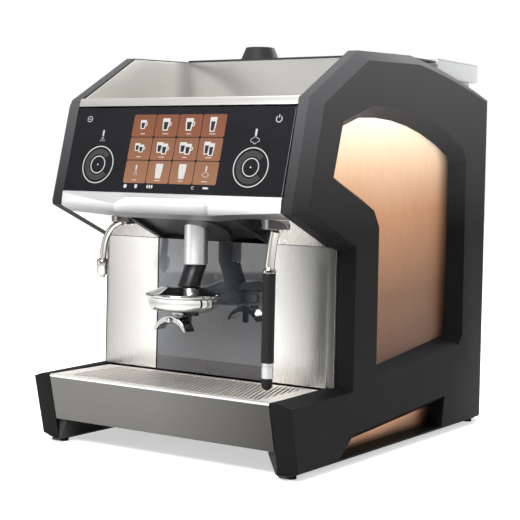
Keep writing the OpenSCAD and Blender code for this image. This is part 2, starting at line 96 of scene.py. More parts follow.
class Graph:
    """The nodes of a new material, or of a tree that is handed in, under construction."""

    def __init__(self, name="", tree=None):
        if tree is None:
            self.material = bpy.data.materials.new(name)
            self.material.use_nodes = True
            tree = self.material.node_tree
        self.tree = tree
        self.tree.nodes.clear()

    def node(self, kind, settings=None, sockets=None, out=0):
        """Adds a node: its settings first, then the values or links of its sockets."""
        made = self.tree.nodes.new(kind)
        for key, value in (settings or {}).items():
            if key == "stops":
                ramp = made.color_ramp
                while len(ramp.elements) < len(value):
                    ramp.elements.new(1.0)
                for element, (position, color) in zip(ramp.elements, value):
                    element.position = position
                    element.color = (*color[:3], 1.0)
            else:
                setattr(made, key, value)
        for key, value in (sockets or {}).items():
            if isinstance(value, Value):
                self.tree.links.new(value.socket, made.inputs[key])
            else:
                made.inputs[key].default_value = value
        return Value(self, made.outputs[out]) if len(made.outputs) else None

    def place(self, scale=(1.0, 1.0, 1.0), turn=(0.0, 0.0, 0.0)):
        """Position on the piece in metres, scaled and turned."""
        at = self.node("ShaderNodeTexCoord", out="Object")
        return self.node("ShaderNodeMapping", {"vector_type": "POINT"},
                         {"Vector": at, "Scale": scale, "Rotation": turn})

    def axis(self, letter):
        """Position along one axis in metres."""
        at = self.node("ShaderNodeTexCoord", out="Object")
        return self.node("ShaderNodeSeparateXYZ", None, {0: at}, out="XYZ".index(letter))

    def noise(self, at, scale=1.0, detail=3.0, roughness=0.5):
        return self.node("ShaderNodeTexNoise", None,
                         {"Vector": at, "Scale": scale, "Detail": detail, "Roughness": roughness})

    def cells(self, at, scale=1.0, out="Distance"):
        """Distance from the nearest cell centre, or the cell's own colour."""
        return self.node("ShaderNodeTexVoronoi", {"feature": "F1"},
                         {"Vector": at, "Scale": scale}, out=out)

    def ramp(self, factor, stops):
        return self.node("ShaderNodeValToRGB", {"stops": stops}, {0: factor})

    def mix(self, factor, first, second):
        """Mixes two colours, each a link or (r, g, b)."""
        return self.node("ShaderNodeMix", {"data_type": "RGBA", "blend_type": "MIX"},
                         {0: factor, 6: opaque(first), 7: opaque(second)}, out=2)

    def span(self, value, low, high, to_low, to_high):
        """Carries a value from one range to another, clamped."""
        return self.node("ShaderNodeMapRange", {"clamp": True},
                         {0: value, 1: low, 2: high, 3: to_low, 4: to_high})

    def shade(self, tone, by, low, high, amount, other):
        """Moves a tone towards another colour as a value rises from low to high."""
        return self.mix(self.span(by, low, high, 0.0, amount), tone, other)

    def painted_gradient(self, tone, color, painted_fade):
        """Paints light or shade into a tone along an axis; the gradient is (axis, from, to, factor
        at its end) or None.
        """
        if not painted_fade:
            return tone
        axis, start, end, factor = painted_fade
        return self.shade(tone, self.axis(axis), start, end, 1.0, tinted(color, factor))

    def bump(self, height, distance, strength):
        return self.node("ShaderNodeBump", None,
                         {"Height": height, "Distance": distance, "Strength": strength})

    def worn(self, low=0.5, high=0.56):
        """Rises on outer edges, where handling wears a finish."""
        point = self.node("ShaderNodeNewGeometry", out="Pointiness")
        return self.span(point, low, high, 0.0, 1.0)

    def finish(self, color, roughness, metallic=0.0, normal=None, **fixed):
        """The surface shader. Fixed inputs are plain numbers or colours."""
        sockets = {"Base Color": opaque(color), "Roughness": roughness,
                   "Metallic": metallic}
        if normal is not None:
            sockets["Normal"] = normal
        for key, value in fixed.items():
            sockets[key.replace("_", " ").title().replace("Ior", "IOR")] = value
        shader = self.node("ShaderNodeBsdfPrincipled", None, sockets)
        self.node("ShaderNodeOutputMaterial", None, {0: shader})
        return self.material


def opaque(color):
    """A link as it is, or a colour with its alpha."""
    return color if isinstance(color, Value) else (*color[:3], 1.0)


def tinted(color, factor):
    """A colour made lighter or darker, not past full."""
    return tuple(min(1.0, c * factor) for c in color[:3])


# ---------- finishes ----------


def moulded(name, color, roughness, grain=1500.0, depth=0.00004, shine=0.25, painted_lift=None):
    """Moulded plastic with a spark-eroded grain; an optional gradient of painted light or shade
    along an axis, as (axis, from, to, factor at its end).
    """
    g = Graph(name)
    fine = g.cells(g.place(), grain)
    broad = g.noise(g.place(), 9.0, 4.0)
    speck = g.noise(g.place(), grain * 1.4, 2.0, 0.6)
    tone = g.shade(tinted(color, 0.9), broad, 0.3, 0.7, 1.0, tinted(color, 1.12))
    tone = g.shade(tone, speck, 0.45, 0.75, 0.22, tinted(color, 2.0))
    tone = g.mix(g.worn() * 0.25, tone, tinted(color, 1.9))
    tone = g.painted_gradient(tone, color, painted_lift)
    rough = roughness + (broad - 0.5) * 0.1 + (fine - 0.3) * 0.08
    normal = g.bump(fine + speck * 0.6, depth, 0.7)
    return g.finish(tone, rough, 0.0, normal, specular_ior_level=shine)


def brushed(name, color, along, roughness, painted_fade=None):
    """Steel sheet with hair lines along one axis; an optional gradient of painted light or shade
    along an axis, as (axis, from, to, factor at its end).
    """
    depth, contrast = 0.0000015, 0.018
    stretch = tuple(18.0 if letter == along else 1500.0 for letter in "XYZ")
    g = Graph(name)
    hair = g.noise(g.place(stretch), 1.0, 5.0, 0.65)
    coarse = g.noise(g.place(tuple(s * 0.28 for s in stretch)), 1.0, 3.0)
    cloud = g.noise(g.place(), 7.0, 3.0)
    streak = hair * 0.7 + coarse * 0.3
    tone = g.shade(tinted(color, 1.0 - contrast), streak, 0.35, 0.65, 1.0,
                   tinted(color, 1.0 + contrast))
    tone = g.shade(tone, cloud, 0.4, 0.7, 0.25, tinted(color, 0.9))
    tone = g.painted_gradient(tone, color, painted_fade)
    rough = roughness + (streak - 0.5) * 0.07 + (cloud - 0.5) * 0.04
    normal = g.bump(streak, depth, 0.6)
    return g.finish(tone, rough, 1.0, normal)


def blasted(name, color, painted_fade):
    """Bead-blasted metal: a fine even sparkle; a gradient of painted light or shade along an axis,
    as (axis, from, to, factor at its end), or None.
    """
    roughness, grain = 0.42, 2600.0
    g = Graph(name)
    bead = g.cells(g.place(), grain)
    speck = g.noise(g.place(), grain * 0.5, 4.0, 0.7)
    cloud = g.noise(g.place(), 6.0, 3.0)
    tone = g.shade(tinted(color, 0.86), speck, 0.35, 0.65, 1.0, tinted(color, 1.16))
    tone = g.shade(tone, cloud, 0.35, 0.7, 0.3, tinted(color, 0.92))
    tone = g.painted_gradient(tone, color, painted_fade)
    rough = roughness + (speck - 0.5) * 0.16
    normal = g.bump(bead + speck, 0.00003, 0.6)
    return g.finish(tone, rough, 1.0, normal)


def polished(name, color=(0.44, 0.44, 0.43), roughness=0.05):
    """Bright plating with faint wipe marks and water spots."""
    g = Graph(name)
    smear = g.noise(g.place(), 24.0, 4.0, 0.6)
    spots = g.cells(g.place(), 260.0)
    ring = g.span(spots, 0.1, 0.16, 1.0, 0.0)
    tone = g.shade(color, smear, 0.4, 0.7, 0.5, tinted(color, 0.93))
    rough = roughness + g.span(smear, 0.45, 0.75, 0.0, 0.09) + ring * 0.03
    normal = g.bump(smear, 0.00002, 0.3)
    return g.finish(tone, rough, 1.0, normal)


def satin(name, color, roughness, painted_fade=None):
    """Fine anodised aluminium; an optional gradient of painted light or shade along an axis, as
    (axis, from, to, factor at its end).
    """
    g = Graph(name)
    fine = g.noise(g.place((300.0, 300.0, 2600.0)), 1.0, 3.0, 0.6)
    cloud = g.noise(g.place(), 12.0, 3.0)
    tone = g.shade(tinted(color, 0.95), fine, 0.3, 0.7, 1.0, tinted(color, 1.04))
    tone = g.mix(g.worn() * 0.4, tone, tinted(color, 1.15))
    tone = g.painted_gradient(tone, color, painted_fade)
    rough = roughness + (fine - 0.5) * 0.1 + (cloud - 0.5) * 0.06
    return g.finish(tone, rough, 1.0, g.bump(fine, 0.000008, 0.5))


def glass_black(name, color=(0.004, 0.004, 0.005), ior=1.4, painted_reflection=None):
    """Black glass with faint finger smears; an optional colour gives a paler tone towards its
    upper left, a painted reflection.
    """
    g = Graph(name)
    smear = g.noise(g.place((1.0, 1.0, 1.6)), 22.0, 4.0, 0.6)
    prints = g.cells(g.place(), 55.0)
    touch = g.span(prints, 0.05, 0.3, 1.0, 0.0) * g.span(smear, 0.5, 0.7, 0.0, 1.0)
    tone = g.shade(color, smear, 0.4, 0.7, 0.5, tinted(color, 1.8))
    # Painted reflection: the tone pales towards the upper left.
    if painted_reflection:
        across = g.span(g.axis("X"), -0.09, 0.05, 1.0, 0.0)
        upward = g.span(g.axis("Z"), 0.12, 0.24, 0.3, 1.0)
        tone = g.mix(across * upward, tone, painted_reflection)
    return g.finish(tone, 0.035 + touch * 0.1, 0.0, g.bump(smear, 0.00001, 0.15), ior=ior)


def rubber(name):
    """Matt black rubber with a little dust."""
    color, roughness = (0.005, 0.005, 0.0055), 0.42
    g = Graph(name)
    dust = g.noise(g.place(), 90.0, 5.0, 0.7)
    pores = g.cells(g.place(), 1900.0)
    tone = g.shade(color, dust, 0.5, 0.8, 0.4, tinted(color, 2.6))
    tone = g.mix(g.worn() * 0.3, tone, tinted(color, 3.0))
    return g.finish(tone, roughness + (dust - 0.5) * 0.2, 0.0,
                    g.bump(pores + dust, 0.00003, 0.5), specular_ior_level=0.15)


def cast(name, color, roughness, metallic=1.0):
    """Cast or forged metal: uneven skin, darker in the hollows."""
    g = Graph(name)
    skin = g.noise(g.place(), 240.0, 5.0, 0.65)
    cloud = g.noise(g.place(), 20.0, 3.0)
    tone = g.shade(tinted(color, 0.82), skin, 0.3, 0.7, 1.0, tinted(color, 1.12))
    tone = g.mix(g.worn(0.5, 0.58) * 0.5, tone, tinted(color, 1.35))
    rough = roughness + (skin - 0.5) * 0.2 + (cloud - 0.5) * 0.1
    return g.finish(tone, rough, metallic, g.bump(skin, 0.00008, 0.5))


def zinc(name):
    """Zinc-plated sheet with a faint crystal pattern."""
    color = (0.42, 0.43, 0.44)
    g = Graph(name)
    shade = g.node("ShaderNodeSeparateColor", None, {0: g.cells(g.place(), 95.0, "Color")})
    fine = g.noise(g.place(), 700.0, 3.0)
    tone = g.mix(shade * 0.6 + fine * 0.2, tinted(color, 0.8), tinted(color, 1.2))
    return g.finish(tone, 0.36 + shade * 0.14, 1.0, g.bump(fine, 0.00002, 0.3))


def copper_sheet(name, top, middle, bottom, low, high):
    """Copper-coloured anodised sheet with painted light: a pale painted highlight at its top,
    deepening to painted shade towards its foot.
    """
    g = Graph(name)
    height = g.span(g.axis("Z") + (g.noise(g.place(), 4.0, 2.0) - 0.5) * 0.05,
                    low, high, 0.0, 1.0)
    # Painted light over height: painted shade at the foot, a whitish painted highlight at the top.
    tone = g.ramp(height, [(0.0, bottom), (0.3, tinted(middle, 0.32)), (0.62, middle),
                           (0.8, top), (1.0, (1.0, 0.93, 0.74))])
    hair = g.noise(g.place((1400.0, 1400.0, 22.0)), 1.0, 4.0, 0.6)
    speck = g.noise(g.place(), 1700.0, 2.0)
    tone = g.shade(tone, hair, 0.35, 0.65, 0.16, tinted(bottom, 0.7))
    rough = 0.33 + (hair - 0.5) * 0.14 + (speck - 0.5) * 0.1
    return g.finish(tone, rough, 1.0, g.bump(hair * 0.6 + speck * 0.4, 0.00001, 0.5))


def frosted(name):
    """Milky clear plastic with a fine matt skin."""
    color = (0.86, 0.87, 0.87)
    g = Graph(name)
    grain = g.noise(g.place(), 1300.0, 3.0)
    cloud = g.noise(g.place(), 14.0, 3.0)
    tone = g.shade(tinted(color, 0.95), cloud, 0.35, 0.7, 1.0, color)
    return g.finish(tone, 0.4 + (grain - 0.5) * 0.12, 0.0, g.bump(grain, 0.00002, 0.4),
                    transmission_weight=0.35, ior=1.45)


def circuit(name):
    """Green board with copper tracks, pads and small parts."""
    g = Graph(name)
    upright = g.place(turn=(math.radians(90), 0, 0))
    tracks = g.node("ShaderNodeTexBrick", {"offset": 0.5, "squash": 1.0},
                    {"Vector": upright, "Scale": 130.0, "Mortar Size": 0.05,
                     "Brick Width": 0.9, "Row Height": 0.4}, out="Fac")
    pads = g.span(g.cells(g.place(), 320.0), 0.16, 0.2, 1.0, 0.0)
    green = g.mix(tracks * 0.7, (0.015, 0.10, 0.035), (0.05, 0.24, 0.09))
    tone = g.mix(pads, green, (0.55, 0.52, 0.42))
    return g.finish(tone, 0.4 - pads * 0.15, pads * 0.8, g.bump(tracks + pads, 0.00005, 0.5))


def lit(name, top, bottom, low, high, glow):
    """Screen graphics that shine a little, shaded between two heights in metres."""
    g = Graph(name)
    height = g.span(g.axis("Z"), low, high, 0.0, 1.0)
    tone = g.mix(height, bottom, top)
    dots = g.noise(g.place(), 2500.0, 1.0)
    tone = g.shade(tone, dots, 0.4, 0.6, 0.08, (0.0, 0.0, 0.0))
    return g.finish((0.01, 0.01, 0.01), 0.3 + (dots - 0.5) * 0.05, 0.0, None,
                    emission_color=tone, emission_strength=glow, specular_ior_level=0.2)


# ---------- mesh helpers ----------


class Build:
    """Gathers the points and faces of one piece."""

    def __init__(self):
        self.points = []
        self.faces = []

    def add(self, points, faces):
        base = len(self.points)
        self.points += [Vector(p) for p in points]
        self.faces += [[base + i for i in f] for f in faces]
        return self

    def loft(self, rings, caps=True):
        """Skins closed rings of equal length, one after another."""
        n = len(rings[0])
        points = [p for ring in rings for p in ring]
        faces = [[s * n + i, s * n + (i + 1) % n, (s + 1) * n + (i + 1) % n, (s + 1) * n + i]
                 for s in range(len(rings) - 1) for i in range(n)]
        if caps:
            faces += [list(range(n))[::-1], [(len(rings) - 1) * n + i for i in range(n)]]
        return self.add(points, faces)

    def lathe(self, profile, at, turn=None, n=48):
        """Turns a profile of (radius, height) in millimetres about an axis through at."""
        turn = turn or Matrix.Identity(3)
        at = mm(*at)
        rings = [[at + turn @ mm(r * math.cos(a), r * math.sin(a), z)
                  for a in (2 * math.pi * i / n for i in range(n))] for r, z in profile]
        return self.loft(rings)

    def sweep(self, path, radius, n):
        """Round tube along a path in millimetres."""
        path = [mm(*p) for p in path]
        rings, side = [], None
        for i, point in enumerate(path):
            ahead = (path[min(i + 1, len(path) - 1)] - path[max(i - 1, 0)]).normalized()
            if side is None:
                side = ahead.orthogonal().normalized()
            side = (side - ahead * side.dot(ahead)).normalized()
            up = ahead.cross(side)
            rings.append([point + (side * math.cos(a) + up * math.sin(a)) * radius * MM
                          for a in (2 * math.pi * k / n for k in range(n))])
        return self.loft(rings)

    def prism(self, outline, near, far, place):
        """Extrudes a flat outline of (u, v) in millimetres between two depths."""
        rings = [[place(u, v, d) for u, v in outline] for d in (near, far)]
        return self.loft(rings)

    def band(self, centre, inner, outer, start, end, near, far, place, n=48):
        """Flat ring or arc between two radii, angles in degrees."""
        full = abs(end - start) >= 360
        angles = [math.radians(start + (end - start) * i / n) for i in range(n + (not full))]
        rings = []
        for a in angles:
            c, s = math.cos(a), math.sin(a)
            rings.append([place(centre[0] + r * c, centre[1] + r * s, d)
                          for r, d in ((inner, near), (outer, near), (outer, far), (inner, far))])
        if full:
            rings.append(rings[0])
        return self.loft(rings, caps=not full)


def make(name, build, material, body, replaces=(), sharp=35.0, bevel=0.0):
    """Turns gathered faces into a piece that rides on a body."""
    mesh = bpy.data.meshes.new(name)
    bm = bmesh.new()
    verts = [bm.verts.new(p) for p in build.points]
    bm.verts.ensure_lookup_table()
    for face in build.faces:
        try:
            bm.faces.new([verts[i] for i in face])
        except ValueError:
            continue
    bmesh.ops.remove_doubles(bm, verts=bm.verts, dist=1e-6)
    bmesh.ops.dissolve_degenerate(bm, edges=bm.edges, dist=1e-7)
    bmesh.ops.recalc_face_normals(bm, faces=bm.faces)
    soften(bm, sharp)
    bm.to_mesh(mesh)
    bm.free()
    piece = bpy.data.objects.new(name, mesh)
    bpy.context.scene.collection.objects.link(piece)
    return dress(piece, material, body, replaces, bevel)


def soften(bm, sharp):
    """Smooth shading, apart from edges that turn by more than the angle."""
    limit = math.radians(sharp)
    for face in bm.faces:
        face.smooth = True
    for edge in bm.edges:
        edge.smooth = len(edge.link_faces) == 2 and edge.calc_face_angle(0.0) < limit


def dress(piece, material, body, replaces, bevel):
    """Rounds the edges, gives the finish, hangs the piece on its body and hides the nodes it
    replaces.
    """
    if bevel:
        round_off = piece.modifiers.new("Edges", "BEVEL")
        round_off.width = bevel * MM
        round_off.segments = 3
        round_off.limit_method = "ANGLE"
        round_off.angle_limit = math.radians(28)
        round_off.harden_normals = True
        round_off.use_clamp_overlap = True
    piece.data.materials.append(material)
    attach(piece, body)
    if replaces:
        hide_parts(*replaces)
    return piece


def refined(node, name, material, bevel, body="machine"):
    """A piece with a CAD node's exact shape, its edges rounded off, that stands for it."""
    mesh = NODES[node].data.copy()
    mesh.name = name
    mesh.materials.clear()
    bm = bmesh.new()
    bm.from_mesh(mesh)
    for layer in list(bm.loops.layers.uv):
        bm.loops.layers.uv.remove(layer)
    bmesh.ops.remove_doubles(bm, verts=bm.verts, dist=2e-6)
    soften(bm, 30.0)
    bm.to_mesh(mesh)
    bm.free()
    for attribute in [a for a in mesh.attributes if a.name == "custom_normal"]:
        mesh.attributes.remove(attribute)
    piece = bpy.data.objects.new(name, mesh)
    bpy.context.scene.collection.objects.link(piece)
    return dress(piece, material, body, (node,), bevel)


def finish_nodes(material, *names):
    """Gives carried-over CAD nodes their detailed finish."""
    for name in names:
        node = NODES[name]
        if not node.material_slots:
            node.data.materials.append(material)
        for entry in node.material_slots:
            entry.material = material


def curved(start, bend, end, steps=24):
    """Points on a curve that leaves start towards bend and reaches end from bend."""
    start, bend, end = Vector(start), Vector(bend), Vector(end)
    return [tuple(start.lerp(bend, t).lerp(bend.lerp(end, t), t))
            for t in (k / steps for k in range(steps + 1))]


def round_ball(radius, rows=20):
    """Profile of a ball for Build.lathe, from its top to its foot."""
    return [(max(0.01, radius * math.sin(a)), radius * math.cos(a))
            for a in (math.pi * k / rows for k in range(rows + 1))]


def box_of(node):
    """Centre x and y, half width, foot and top of a CAD node in millimetres."""
    low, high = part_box(node)
    return ((low.x + high.x) / 2 / MM, (low.y + high.y) / 2 / MM,
            (high.x - low.x) / 2 / MM, low.z / MM, high.z / MM)


def rounded(width, height, radius, at=(0.0, 0.0), steps=5):
    """Outline of a rectangle with round corners."""
    out = []
    for cx, cy, start in ((1, 1, 0), (-1, 1, 90), (-1, -1, 180), (1, -1, 270)):
        for k in range(steps + 1):
            a = math.radians(start + 90 * k / steps)
            out.append((at[0] + cx * (width / 2 - radius) + radius * math.cos(a),
                        at[1] + cy * (height / 2 - radius) + radius * math.sin(a)))
    return out


# ---------- settings ----------


def colour(name, description, default):
    return FloatVectorProperty(name=name, description=description, default=default,
                               subtype="COLOR", min=0, max=1)


def length(name, description, default, least, most):
    return FloatProperty(name=name, description=description + ", mm", default=default,
                         min=least, max=most)


class MachineStage(bpy.types.PropertyGroup):
    lens: FloatProperty(name="Lens", description="Focal length of the camera",
                        default=95.57, min=20)
    eye: FloatVectorProperty(name="Camera", description="Place of the camera",
                             default=(1.0668, -1.7261, 0.3805), subtype="TRANSLATION",
                             unit="LENGTH")
    yaw: FloatProperty(name="Turn", description="Turn of the camera from the rear direction",
                       default=math.radians(-34.999), subtype="ANGLE")
    pitch: FloatProperty(name="Tilt", description="Tilt of the camera above level",
                         default=math.radians(-1.377), subtype="ANGLE")
    roll: FloatProperty(name="Roll", description="Roll of the camera",
                        default=math.radians(1.201), subtype="ANGLE")
    shift: FloatVectorProperty(name="Shift", description="Shift of the picture",
                               default=(0.1151, -0.1083), size=2)
    floor_tone: colour("Floor", "Colour of the pale floor", (0.93, 0.93, 0.93))
    floor_glow: FloatProperty(name="Floor glow", description="Light that the floor gives off",
                              default=0.55, min=0, max=2)


class MachineFinish(bpy.types.PropertyGroup):
    charcoal: colour("Side panels", "Colour of the side mouldings", (0.0040, 0.0040, 0.0042))
    # The top colour is a painted highlight and the foot colour is painted shade.
    copper_highlight_top: colour("Copper, top", "Insert colour at its top", (0.97, 0.66, 0.43))
    copper_middle: colour("Copper", "Insert colour half way", (0.68, 0.34, 0.18))
    copper_shaded_foot: colour("Copper, foot", "Insert colour at its foot", (0.055, 0.016, 0.005))
    steel: colour("Steel", "Colour of the brushed sheet", (0.62, 0.61, 0.58))
    tray: colour("Tray front", "Colour of the blasted tray front", (0.13, 0.127, 0.121))
    glow: FloatProperty(name="Screen", description="Brightness of the screen graphics",
                        default=1.0, min=0, max=5)


class MachineShape(bpy.types.PropertyGroup):
    panel_edge: length("Panel edge", "Rounding of the side panels", 1.6, 0.1, 3)
    trim_edge: length("Trim edge", "Rounding of the trim bar", 0.7, 0.1, 2)
    tile_gap: length("Tile gap", "Gap between screen tiles", 1.2, 0.2, 4)
    tile_radius: length("Tile corner", "Corner radius of a tile", 2.4, 0, 6)


def settings(context):
    scene = context.scene
    return scene.machine_stage, scene.machine_finish, scene.machine_shape


# ---------- stage ----------


# Name, place, point aimed at, size and power of each soft light.
LIGHTS = (("front_box", (-1.8, -1.85, 0.55), (0, -0.2, 0.35), (1.5, 1.0), 9.0),
          ("top_box", (-0.1, 0.0, 2.4), (0, 0, 0.3), (2.2, 1.8), 26.0),
          ("back_top_box", (0.15, 2.1, 1.85), (0.1, 0, 0.45), (2.2, 1.0), 30.0),
          ("fill_box", (0.15, -1.25, 0.95), (0, -0.25, 0.12), (0.6, 0.4), 30.0),
          ("rear_box", (1.95, 2.3, 1.05), (0.2, 0, 0.4), (1.7, 1.1), 15.0))
FLOOR_REACH = 9.0
# Glow of the floor as the camera sees it, and as the object's surfaces see it.
FLOOR_SEEN, FLOOR_REFLECTED = (1.0, 1.0, 1.0), (0.12, 0.12, 0.12)


def area_light(name, place, aim, size, power):
    data = bpy.data.lights.new(name, "AREA")
    data.shape = "RECTANGLE"
    data.size, data.size_y = size
    data.energy = power
    light = bpy.data.objects.new(name, data)
    light.location = place
    light.rotation_euler = (Vector(aim) - Vector(place)).to_track_quat("-Z", "Y").to_euler()
    bpy.context.scene.collection.objects.link(light)


# Strength of the room that the metal reflects: towards the back, and overhead.
# Axis of the direction, from, to, strength there and there.
ROOM = (("Y", -0.5, 0.35, 0.06, 0.38), ("Z", 0.15, 0.6, 0.0, 0.6))


def studio_air(tree):
    """White behind the object, with a dim room in front of it for the metal to reflect."""
    g = Graph(tree=tree)
    at = g.node("ShaderNodeTexCoord", out="Generated")
    back, above = (
        g.node("ShaderNodeMapRange", {"interpolation_type": "SMOOTHSTEP"},
               {0: g.node("ShaderNodeSeparateXYZ", None, {0: at}, out=axis),
                **dict(enumerate(limits, 1))})
        for axis, *limits in ROOM)
    seen = g.node("ShaderNodeLightPath", out="Is Camera Ray")
    strength = g.node("ShaderNodeMix", None, {0: seen, 2: back + above, 3: 1.0})
    air = g.node("ShaderNodeBackground", None,
                 {"Color": (1.0, 1.0, 1.0, 1.0), "Strength": strength})
    g.node("ShaderNodeOutputWorld", None, {0: air})


class MACHINE_OT_stage(bpy.types.Operator):
    """Camera, pale floor and soft studio light"""

    bl_idname = "machine.stage"
    bl_label = "Stage"

    def execute(self, context):
        stage = settings(context)[0]
        data = bpy.data.cameras.new("Camera")
        data.lens = stage.lens
        data.sensor_width = 36.0
        data.shift_x, data.shift_y = stage.shift
        data.clip_start, data.clip_end = 0.05, 60.0
        camera = bpy.data.objects.new("Camera", data)
        yaw, pitch, roll = stage.yaw, stage.pitch, stage.roll
        ahead = Vector((math.sin(yaw) * math.cos(pitch), math.cos(yaw) * math.cos(pitch),
                        math.sin(pitch)))
        right = Vector((math.cos(yaw), -math.sin(yaw), 0.0))
        up = right.cross(ahead)
        right, up = (math.cos(roll) * right + math.sin(roll) * up,
                     math.cos(roll) * up - math.sin(roll) * right)
        turn = Matrix((right, up, -ahead)).transposed()
        camera.matrix_world = Matrix.Translation(stage.eye) @ turn.to_4x4()
        context.scene.collection.objects.link(camera)
        context.scene.camera = camera

        corners = [(x * FLOOR_REACH, y * FLOOR_REACH, 0)
                   for x, y in ((-1, -1), (1, -1), (1, 1), (-1, 1))]
        mesh = bpy.data.meshes.new("floor")
        mesh.from_pydata(corners, [], [[0, 1, 2, 3]])
        floor = bpy.data.objects.new("floor", mesh)
        context.scene.collection.objects.link(floor)
        g = Graph("pale_floor")
        tone = g.shade(tinted(stage.floor_tone, 0.985), g.noise(g.place(), 1.2, 2.0),
                       0.3, 0.7, 1.0, stage.floor_tone)
        seen = g.node("ShaderNodeLightPath", out="Is Camera Ray")
        glow = g.mix(seen, FLOOR_REFLECTED, FLOOR_SEEN)
        mesh.materials.append(g.finish(tone, 0.6, 0.0, specular_ior_level=0.2,
                                       emission_color=glow,
                                       emission_strength=stage.floor_glow))

        world = bpy.data.worlds.new("Studio")
        context.scene.world = world
        world.use_nodes = True
        studio_air(world.node_tree)
        context.scene.view_settings.view_transform = "Standard"

        for light in LIGHTS:
            area_light(*light)
        return {"FINISHED"}


# ---------- shell ----------


class MACHINE_OT_side_panels(bpy.types.Operator):
    """Charcoal side mouldings with rounded edges"""

    bl_idname = "machine.side_panels"
    bl_label = "Side panels"

    def execute(self, context):
        _, finish, shape = settings(context)
        # The side panels are lightened from 0.3 m up to 0.58 m as painted light from above.
        skin = moulded("charcoal_moulding", finish.charcoal, 0.5, shine=0.05,
                        painted_lift=("Z", 0.3, 0.58, 18.0))
        for side in ("left", "right"):
            refined(f"side_panel_{side}", f"side_moulding_{side}", skin,
                    shape.panel_edge)
        return {"FINISHED"}


class MACHINE_OT_copper_inserts(bpy.types.Operator):
    """Copper-coloured sheets in the side windows"""

    bl_idname = "machine.copper_inserts"
    bl_label = "Copper inserts"

    def execute(self, context):
        finish = settings(context)[1]
        low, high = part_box("side_insert_right")
        tones = (finish.copper_highlight_top, finish.copper_middle, finish.copper_shaded_foot)
        sheet = copper_sheet("copper_sheet", *tones, low.z, high.z)
        finish_nodes(sheet, "side_insert_left", "side_insert_right")
        # The lower inserts darken towards the floor as painted shade.
        foot = copper_sheet("copper_foot_sheet", tones[1], tones[1], tones[2], 0.0, 0.08)
        finish_nodes(foot, "lower_insert_left", "lower_insert_right")
        return {"FINISHED"}


# Plane of the glass front: u across, v up the slope, d out of the glass, in millimetres.
GLASS_LEAN = math.radians(15.0)
GLASS_FOOT = (-264.4, 407.0)
# Near and far depth of what lies on the glass: screen icons, their filling, and prints.
ICON, FILLING, PRINT = (0.18, 0.42), (0.4, 0.55), (0.02, 0.3)


def on_glass(u, v, d):
    return mm(u, GLASS_FOOT[0] + v * math.sin(GLASS_LEAN) - d * math.cos(GLASS_LEAN),
              GLASS_FOOT[1] + v * math.cos(GLASS_LEAN) + d * math.sin(GLASS_LEAN))


def disc(build, centre, inner, outer, n, depths=PRINT):
    """Flat ring on the glass, or a dot where the inner radius is nothing."""
    build.band(centre, inner, outer, 0, 360, *depths, on_glass, n)


def cup(build, fills, at, width, height, handle, fill):
    """A cup or glass from the side: tapered body, rim band and a ring handle."""
    u, v = at
    top, foot = width / 2, width * 0.36
    body = [(u - foot, v), (u + foot, v), (u + top * 0.96, v + height * 0.55),
            (u + top, v + height), (u - top, v + height), (u - top * 0.96, v + height * 0.55)]
    build.prism(body, *ICON, on_glass)
    if fill:
        inset = width * 0.14
        level = v + height * 0.7
        fills.prism([(u - foot + inset, v + inset), (u + foot - inset, v + inset),
                     (u + top * 0.9 - inset, level), (u - top * 0.9 + inset, level)],
                    *FILLING, on_glass)
    if handle:
        build.band((u + top * 0.95, v + height * 0.55), width * 0.17, width * 0.29, -100, 100,
                   *ICON, on_glass, 16)


def nozzle_mark(build, at, scale, steam):
    """Small wand with spray drops, or with a steam cloud."""
    u, v = at
    build.prism([(u - 0.9 * scale, v), (u + 0.9 * scale, v), (u + 0.9 * scale, v + 6 * scale),
                 (u - 0.9 * scale, v + 6 * scale)], *ICON, on_glass)
    if steam:
        for du, dv, r, start, turn in ((-2.6, -4.0, 1.9, 90, 200), (0.0, -3.0, 2.3, 20, 140),
                                       (2.6, -4.0, 1.9, -90, 200), (0.0, -5.6, 1.8, 180, 180)):
            build.band((u + du * scale, v + dv * scale), (r - 0.4) * scale, r * scale,
                       start, start + turn, *ICON, on_glass, 12)
    else:
        for lean in (-0.45, 0.0, 0.45):
            for step in (1.6, 3.4, 5.2):
                c = (u + lean * step * scale, v - step * scale)
                disc(build, c, 0.0, 0.42 * scale, 10, ICON)


